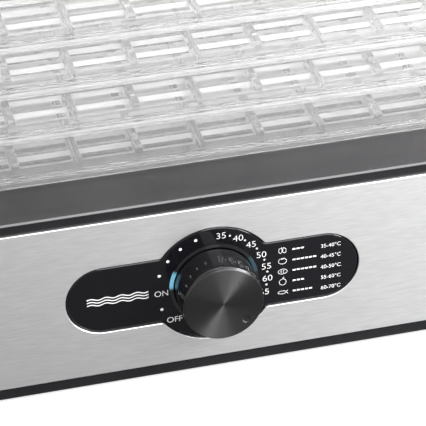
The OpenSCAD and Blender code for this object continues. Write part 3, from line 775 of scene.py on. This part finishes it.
def make_deck(materials):
    """Tray deck: a sloping front, the low wall that holds the first tray, and the air outlet."""
    bm = bmesh.new()
    rings = loft(bm, deck_loops())
    inner = add_ring(bm, tray_outline(WALL_IN + 0.3 * MM, DECK_Z))
    bridge(bm, rings[-1], inner)
    under = add_ring(bm, base_loop(DECK_WALL, sink=DECK_WALL))
    for vert in under:
        vert.co.z = max(vert.co.z, FRAME_TOP + 0.4 * MM)
    bridge(bm, rings[0], under)
    outlet_rings = loft(bm, [[(x, y + TRAY_Y, DECK_Z + drop * MM) for x, y in circle_loop(r * MM, 128)]
                             for r, drop in OUTLET])
    fill_flat(bm, inner, outlet_rings[0])
    fill_flat(bm, under, outlet_rings[-1])
    add_bosses(bm)
    piece("tray_deck", to_mesh(bm, "tray_deck", 50), materials["deck_plastic"], "base",
          ["top_housing"])


def add_bosses(bm):
    """The four screw bosses that hang under the deck."""
    boss_r, hole_r, low, high = 6 * MM, 1.5 * MM, 60 * MM, DECK_Z - 2.6 * MM
    corner_x, corner_y = CASE_HI.x - 16 * MM, (CASE_LO.y + 16 * MM, CASE_HI.y - 16 * MM)
    for x in (-corner_x, corner_x):
        for y in corner_y:
            levels = ((hole_r, high), (boss_r, high), (boss_r, low), (hole_r, low))
            loft(bm, [[(x + a, y + b, z) for a, b in circle_loop(r, 32)] for r, z in levels], closed=True)


def make_feet(materials):
    """Rubber feet with a rounded sole and a turned-in ring."""
    for name in ("foot_front_left", "foot_front_right", "foot_back_left", "foot_back_right"):
        low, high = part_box(name)
        centre = (low + high) / 2
        radius = (high.x - low.x) / 2
        sole = radius - 1.8 * MM
        profile = [(sole - 2.5 * MM, 0.4 * MM), (sole - 1.9 * MM, 0.05 * MM), (sole - 0.6 * MM, 0)]
        profile += [(sole + 0.1 * MM, 0.25 * MM), (sole + 0.4 * MM, 0.8 * MM), (radius - 0.2 * MM, 2.3 * MM)]
        profile += [(radius, 2.9 * MM), (radius, high.z - low.z)]
        bm = bmesh.new()
        rings = loft(bm, [[(centre.x + x, centre.y + y, low.z + z) for x, y in circle_loop(r, 64)]
                          for r, z in profile])
        cap_ends(bm, rings)
        piece("rubber_" + name, to_mesh(bm, "rubber_" + name, 60), materials["soft_rubber"], "base",
              [name])


# ---------- trays and lid ----------

TRAY_MATERIALS = ("clear_plastic", "satin_plastic", "flange_plastic")
SATIN, FLANGE = 1, 2


def add_tray_materials(mesh, materials):
    for name in TRAY_MATERIALS:
        mesh.materials.append(materials[name])


def wall_profile(wall_top):
    """(inset, height) points of a tray's wall, from the floor's top to the flange."""
    soft, small = 0.6 * MM, 0.4 * MM
    profile = arc(WALL_IN + soft, RIM_H + soft, soft, 270, 180)
    profile += arc(WALL_IN - small, wall_top - small, small, 0, 90)
    profile += arc(WALL_OUT + small, wall_top - small, small, 90, 180)
    return profile + arc(WALL_OUT - small, RIM_H + small, small, 0, -90)


def flange_profile():
    """The flange's edge and skirt: a top edge, a fine line along the skirt, and a foot."""
    soft, line, line_z = 0.4 * MM, 0.22 * MM, 3.3 * MM
    profile = arc(soft, RIM_H - soft, soft, 90, 180)
    profile += [(0, line_z + line), (line, line_z), (0, line_z - line)]
    return profile + arc(soft, CLEARANCE + soft, soft, 180, 270)


def groove_profile():
    """The flange's underside with the groove that takes the wall below."""
    small, foot = 0.4 * MM, CLEARANCE
    profile = arc(SKIRT - small, foot + small, small, 270, 360)
    profile += arc(SKIRT + small, NEST - small, small, 180, 90)
    profile += arc(GROOVE_IN - small, NEST - small, small, 90, 0)
    profile += arc(GROOVE_IN + small, foot + small, small, 180, 270)
    return profile + arc(RIM_IN - small, foot + small, small, 270, 360)


def rim_loft(bm, low, above, below=()):
    """Rings for wall, flange and groove."""
    profile = above + flange_profile() + groove_profile() + list(below)
    flange = range(len(above) - 1, len(above) + len(flange_profile()) - 1)
    loops = [tray_outline(inset, low + z) for inset, z in profile]
    return loft(bm, loops, marked=dict.fromkeys(flange, FLANGE))


def perforated_floor(bm, top_ring, under_ring, columns, rows, low, high, ribs=()):
    """A flat floor with an opening at each column and row, joined to the rings around it."""
    cut = 0.2 * MM
    xs = sorted([x for column in columns for x in (column[0] - cut, column[1] + cut)]
                + [x for rib in ribs for x in (rib - RIB_W / 2, rib + RIB_W / 2)])
    ys = sorted(y for row in rows for y in (row[0] - cut, row[1] + cut))
    open_i = {xs.index(column[0] - cut) for column in columns}
    open_j = {ys.index(row[0] - cut) for row in rows}
    rib_i = {xs.index(rib - RIB_W / 2) for rib in ribs}
    layers = [[[bm.verts.new((x, y + TRAY_Y, level)) for y in ys] for x in xs] for level in (high, low)]
    for layer, skipped in zip(layers, (rib_i, set())):
        for i in range(len(xs) - 1):
            for j in range(len(ys) - 1):
                if i not in skipped and not (i in open_i and j in open_j):
                    bm.faces.new((layer[i][j], layer[i + 1][j], layer[i + 1][j + 1], layer[i][j + 1]))
    for i in open_i:
        for j in open_j:
            add_opening(bm, layers, i, j, cut, low, high)
    ends = {i: add_rib(bm, layers[0], i, high) for i in sorted(rib_i)}
    fill_flat(bm, top_ring, grid_outline(layers[0], ends))
    fill_flat(bm, under_ring, grid_outline(layers[1], {}))


def add_opening(bm, layers, i, j, cut, low, high):
    """The walls of one opening, with round edges above and below."""
    top, under = [[layer[i][j], layer[i + 1][j], layer[i + 1][j + 1], layer[i][j + 1]] for layer in layers]
    middle = sum((v.co for v in top), Vector()) / 4
    rounding = [(cut - a, cut - b) for a, b in arc(0, 0, cut, 90, 0, 3)][1:]
    levels = [(inset, high - drop) for inset, drop in rounding]
    levels += [(inset, low + rise) for inset, rise in reversed(rounding)]
    last = top
    for inset, level in levels:
        ring = [bm.verts.new((v.co.x + math.copysign(inset, middle.x - v.co.x),
                              v.co.y + math.copysign(inset, middle.y - v.co.y), level)) for v in top]
        bridge(bm, last, ring, SATIN)
        last = ring
    bridge(bm, last, under, SATIN)


def add_rib(bm, layer, i, high):
    """A raised rib on the strip between two grid lines, and the corners of its ends at floor level."""
    reach, rise, soft = 7.0 * MM, 1.5 * MM, 0.5 * MM
    left, right = layer[i], layer[i + 1]
    x0, x1 = left[0].co.x, right[0].co.x
    ends = []
    for vert, side in ((left[0], -1), (left[-1], 1)):
        y = vert.co.y + side * reach
        ends.append([bm.verts.new((x0, y, high)), bm.verts.new((x1, y, high))])
    lows = [(ends[0][0], ends[0][1]), *zip(left, right), (ends[1][0], ends[1][1])]
    sections = []
    for a, b in lows:
        y = a.co.y
        crown = [bm.verts.new((x, y, z)) for x, z in ((x0, high + rise - soft), (x0 + soft, high + rise),
                                                       (x1 - soft, high + rise), (x1, high + rise - soft))]
        sections.append([a, *crown, b])
    for near, far in zip(sections, sections[1:]):
        for k in range(5):
            bm.faces.new((near[k], near[k + 1], far[k + 1], far[k]))
    cap_ends(bm, sections)
    return ends


def grid_outline(layer, rib_ends):
    """The outline of a grid, with the ends of the ribs that stick out of it."""
    front, back = [], []
    for i, column in enumerate(layer):
        front.append(column[0])
        back.append(column[-1])
        if i in rib_ends:
            front += rib_ends[i][0]
            back += rib_ends[i][1]
    right = layer[-1][1:-1]
    left = layer[0][1:-1]
    return front + right + back[::-1] + left[::-1]


def openings(count, size, gap, shift=0.0):
    """Start and end of each of count openings in a row whose middle is at shift."""
    starts = [(i - (count - 1) / 2) * (size + gap) - size / 2 + shift for i in range(count)]
    return [(start, start + size) for start in starts]


def add_peg(bm, x, y, level):
    """A short peg that stands on the floor between two openings."""
    soft, half_w, half_d = 0.4 * MM, PEG_W / 2, SLOT_D / 2
    loops = []
    for inset, z in ((0, 0.02 * MM), (0, PEG_H - soft), (soft * 0.3, PEG_H - soft * 0.3), (soft, PEG_H)):
        corners = ((-1, -1), (1, -1), (1, 1), (-1, 1))
        loops.append([(x + a * (half_w - inset), y + b * (half_d - inset), level + z) for a, b in corners])
    rings = loft(bm, loops, marked=dict.fromkeys(range(3), FLANGE))
    cap_ends(bm, rings, FLANGE)


def tray_mesh():
    """One tray in a single mesh: rim, wall, floor with its openings, ribs and pegs."""
    low = TRAY_LO.z
    bm = bmesh.new()
    soft = 0.3 * MM
    under_z = low + RIM_H - FLOOR_T
    corner = [(RIM_IN + soft - a, RIM_H - FLOOR_T - soft + b) for a, b in arc(0, 0, soft, 0, 90)]
    rings = rim_loft(bm, low, wall_profile(TRAY_HI.z - low - CLEARANCE), corner[1:])
    ribs = [i * 2 * (SLOT_W + BAR_X) for i in range(-2, 3)]
    rows = openings(SLOT_ROWS, SLOT_D, BAR_Y)
    perforated_floor(bm, rings[0], rings[-1], openings(SLOT_COLUMNS, SLOT_W, BAR_X), rows,
                     under_z, low + RIM_H, ribs)
    for i in range(-3, 3):
        for near, far in rows[:2] + rows[-2:]:
            add_peg(bm, (2 * i + 1) * (SLOT_W + BAR_X), (near + far) / 2 + TRAY_Y, low + RIM_H)
    return to_mesh(bm, "tray", 50)


def make_trays(materials):
    mesh = tray_mesh()
    add_tray_materials(mesh, materials)
    for i, name in enumerate(TRAYS):
        made = piece(name + "_shell", mesh, materials["clear_plastic"], name,
                     [name + "_rim", name + "_grid"])
        made.location.z = i * TRAY_PITCH


def make_lid(materials):
    """Clear lid: the trays' rim under a flat top with two fields of slots."""
    low, top = LID_LO.z, LID_TOP_HI.z
    under_z = LID_TOP_LO.z
    soft, small = 0.8 * MM, 0.4 * MM
    edge = [(WALL_OUT + soft + a, top - low - soft + b) for a, b in arc(0, 0, soft, 90, 180, 4)]
    foot = arc(WALL_OUT - small, RIM_H + small, small, 0, -90)
    corner = [(RIM_IN, under_z - low - small), (RIM_IN + 0.1 * MM, under_z - low - 0.1 * MM),
              (RIM_IN + small, under_z - low)]
    bm = bmesh.new()
    rings = rim_loft(bm, low, edge + foot, corner)
    slot_w, slot_d, gap, field_x = 6 * MM, 20 * MM, 8 * MM, 113 * MM
    columns = [x for side in (-1, 1) for x in openings(6, slot_w, gap, side * field_x)]
    perforated_floor(bm, rings[0], rings[-1], columns, openings(7, slot_d, gap), under_z, top)
    mesh = to_mesh(bm, "lid_shell", 50)
    add_tray_materials(mesh, materials)
    piece("lid_shell", mesh, materials["clear_plastic"], "lid", ["lid_rim", "lid_top"])


def make_lid_grip(materials):
    """Raised grip on the lid, with hollowed flanks and soft edges."""
    half_w = (GRIP_HI.x - GRIP_LO.x) / 2
    half_d = (GRIP_HI.y - GRIP_LO.y) / 2
    low, high = GRIP_LO.z + CLEARANCE, GRIP_HI.z
    bar_w, bar_d = half_w - 4 * MM, 5.5 * MM
    pad_top = GRIP_LO.z + 2 * MM
    soft, fillet, crown, hollow = 0.6 * MM, 1.4 * MM, 1.2 * MM, 0.6 * MM
    levels = [
        (half_w - soft, half_d - soft, low),
        (half_w, half_d, low + soft),
        (half_w, half_d, pad_top - soft),
        (half_w - soft * 0.3, half_d - soft * 0.3, pad_top - soft * 0.3),
        (half_w - soft, half_d - soft, pad_top),
        (bar_w + fillet, bar_d + fillet, pad_top),
        (bar_w + 0.4 * MM, bar_d + 0.4 * MM, pad_top + 0.4 * MM),
        (bar_w, bar_d, pad_top + fillet),
        (bar_w, bar_d - hollow, (pad_top + high) / 2),
        (bar_w, bar_d, high - 1.6 * MM),
    ]
    levels += [(bar_w - crown + a, bar_d - crown + a, high - crown + b)
               for a, b in arc(0, 0, crown, 0, 90, 4)]
    middle_x = (GRIP_HI.x + GRIP_LO.x) / 2
    bm = bmesh.new()
    loops = []
    for w, d, z in levels:
        corner = min(d - 0.05 * MM, 15 * MM)
        loops.append([(x + middle_x, y + TRAY_Y, z) for x, y in rounded_loop(w, d, corner)])
    rings = loft(bm, loops)
    cap_ends(bm, rings)
    piece("lid_grip", to_mesh(bm, "lid_grip", 60), materials["clear_plastic"], "lid",
          ["lid_handle"])


# ---------- CAD nodes that stay ----------

NODES_OF_FINISH = {
    "case_plastic": ("lower_case", "bottom_cover", "front_frame", "outlet_grille", "cord_gland"),
    "light_pipe": ("light_ring",),
    "circuit_board": ("led_board",),
    "shaft_aluminium": ("thermostat_shaft", "motor_shaft"),
    "soft_rubber": ("duct_gasket", "motor_grommets"),
    "motor_paint": ("fan_motor",),
    "impeller_plastic": ("fan_impeller",),
    "mica_card": ("heater_frame",),
    "heating_wire": ("heater_element",),
    "terminal_plastic": ("terminal_block",),
    "wire_sleeve": ("wiring_loom",),
    "hidden_steel": ("thermostat", "thermostat_bracket", "thermostat_nut", "knob_clip", "air_duct",
                     "motor_bracket", "impeller_nut", "thermal_cutout", "case_screws", "cover_screws",
                     "duct_screws", "motor_screws", "bracket_screws", "bracket_rivets"),
}
SOFT_EDGES = {"lower_case": 0.4, "front_frame": 0.15, "bottom_cover": 0.3, "outlet_grille": 0.3}     # mm


def finish_cad_nodes(materials):
    """Gives each CAD node that stays its material, and the casing's nodes softened edges."""
    for finish, names in NODES_OF_FINISH.items():
        for name in names:
            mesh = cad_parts[name].data
            mesh.materials.clear()
            mesh.materials.append(materials[finish])
    for name, width in SOFT_EDGES.items():
        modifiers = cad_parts[name].modifiers
        modifiers.new("weld", "WELD").merge_threshold = 1e-6
        bevel = modifiers.new("edges", "BEVEL")
        bevel.width = width * MM
        bevel.segments = 2
        bevel.limit_method = "ANGLE"
        bevel.angle_limit = math.radians(40)
        bevel.harden_normals = True


# ---------- studio ----------

SKY_BASE, SKY_GLOW = 1.1, 3.0
GLOW_TOWARDS = (0.54, 0.54, 0.64)
GLOW_EDGE, GLOW_FULL = 0.8, 0.955      # cosines of the angles at which the glow starts and is full
FLOOR_GLOW = 0.6
FLOOR_HALF = 12.0
CARD_LEFT, CARD_RIGHT = 0.3, 0.6       # brightness of the card seen in reflections
CARD_FADE = (-0.15, 0.2)               # places along X between which it brightens
CARD_HALF_W, CARD_REACH, CARD_GAP, CARD_Z = 0.6, 0.55, 0.001, 0.002
LIT_POINT = (0, 0, 0.1)
SOFTBOXES = (       # name, place, size, power in watts
    ("front_box", (0.8, -1.6, 1.34), (1.8, 0.8), 44),
    ("right_box", (0.5, -0.36, 0.4), (0.3, 0.3), 11),
)


def flat_sheet(name, low, high, level, material):
    """A level rectangle between two corners."""
    bm = bmesh.new()
    corners = ((low[0], low[1]), (high[0], low[1]), (high[0], high[1]), (low[0], high[1]))
    bm.faces.new([bm.verts.new((x, y, level)) for x, y in corners])
    mesh = bpy.data.meshes.new(name)
    bm.to_mesh(mesh)
    bm.free()
    mesh.materials.append(material)
    made = bpy.data.objects.new(name, mesh)
    bpy.context.scene.collection.objects.link(made)
    return made


def make_floor():
    """Plain pale floor that glows a little, like a light table."""
    mat = finish_of("floor", (0.55, 0.55, 0.55), 0.9, specular=0.0, Emission_Color=WHITE,
                    Emission_Strength=FLOOR_GLOW)
    floor = flat_sheet("floor", (-FLOOR_HALF, -FLOOR_HALF), (FLOOR_HALF, FLOOR_HALF), 0, mat)


def make_reflected_card():
    """A grey card in front of the base that only shows in reflections, darker on the left."""
    mat = finish_of("card", (0.0, 0.0, 0.0), 1.0, specular=0.0, Emission_Color=WHITE)
    place = node(mat, "ShaderNodeTexCoord")
    parts = node(mat, "ShaderNodeSeparateXYZ")
    shade_of = node(mat, "ShaderNodeMapRange",
                    {"From Min": CARD_FADE[0], "From Max": CARD_FADE[1], "To Min": CARD_LEFT,
                     "To Max": CARD_RIGHT}, interpolation_type="SMOOTHSTEP")
    link(mat, place, "Object", parts, "Vector")
    link(mat, parts, "X", shade_of, "Value")
    link(mat, shade_of, "Result", shader_of(mat), "Emission Strength")
    near, far = FRAME_LO.y - CARD_REACH, FRAME_LO.y - CARD_GAP
    card = flat_sheet("card", (-CARD_HALF_W, near), (CARD_HALF_W, far), CARD_Z, mat)
    card.visible_camera = False
    card.visible_diffuse = False
    card.visible_transmission = False
    card.visible_shadow = False


def make_softbox(name, place, target, size, power):
    lamp = bpy.data.lights.new(name, "AREA")
    lamp.shape = "RECTANGLE"
    lamp.size, lamp.size_y = size
    lamp.energy = power
    made = bpy.data.objects.new(name, lamp)
    made.location = place
    made.rotation_mode = "QUATERNION"
    made.rotation_quaternion = (Vector(target) - Vector(place)).to_track_quat("-Z", "Y")
    bpy.context.scene.collection.objects.link(made)


def make_world():
    """White light from all round, which grows towards a high point at the back right."""
    world = bpy.data.worlds.new("studio")
    world.use_nodes = True
    place = node(world, "ShaderNodeTexCoord")
    towards = Vector(GLOW_TOWARDS).normalized()
    facing = node(world, "ShaderNodeVectorMath", {1: towards}, operation="DOT_PRODUCT")
    glow = node(world, "ShaderNodeMapRange",
                {"From Min": GLOW_EDGE, "From Max": GLOW_FULL, "To Min": SKY_BASE, "To Max": SKY_GLOW},
                interpolation_type="SMOOTHSTEP")
    background = world.node_tree.nodes["Background"]
    background.inputs["Color"].default_value = WHITE
    link(world, place, "Generated", facing, 0)
    link(world, facing, "Value", glow, "Value")
    link(world, glow, "Result", background, "Strength")
    bpy.context.scene.world = world


def make_lights():
    for name, place, size, power in SOFTBOXES:
        make_softbox(name, place, LIT_POINT, size, power)


def make_camera():
    data = bpy.data.cameras.new("camera")
    data.sensor_width = 36
    data.lens = CAMERA_LENS
    data.clip_start, data.clip_end = 0.05, 50
    camera = bpy.data.objects.new("camera", data)
    heading, down = math.radians(CAMERA_HEADING), math.radians(CAMERA_DOWN)
    look = Vector((math.sin(heading) * math.cos(down), math.cos(heading) * math.cos(down), -math.sin(down)))
    camera.location = DIAL + CAMERA_FROM_DIAL
    camera.rotation_mode = "QUATERNION"
    roll = Quaternion((0, 0, 1), math.radians(-CAMERA_ROLL))
    camera.rotation_quaternion = look.to_track_quat("-Z", "Y") @ roll
    bpy.context.scene.collection.objects.link(camera)
    bpy.context.scene.camera = camera


def set_light_depth():
    """Enough bounces for light to pass five clear trays, and plain display colours."""
    scene = bpy.context.scene
    scene.view_settings.view_transform = "Standard"
    scene.cycles.max_bounces = 40
    scene.cycles.transmission_bounces = 36
    scene.cycles.glossy_bounces = 8
    scene.cycles.diffuse_bounces = 4


make_camera()
make_world()
make_lights()
make_floor()
make_reflected_card()
set_light_depth()
finishes = make_materials()
finish_cad_nodes(finishes)
make_front_plate(finishes)
make_control_panel(finishes)
make_knob_body(finishes)
make_knob_face(finishes)
make_panel_print(finishes)
make_deck(finishes)
make_feet(finishes)
make_trays(finishes)
make_lid(finishes)
make_lid_grip(finishes)
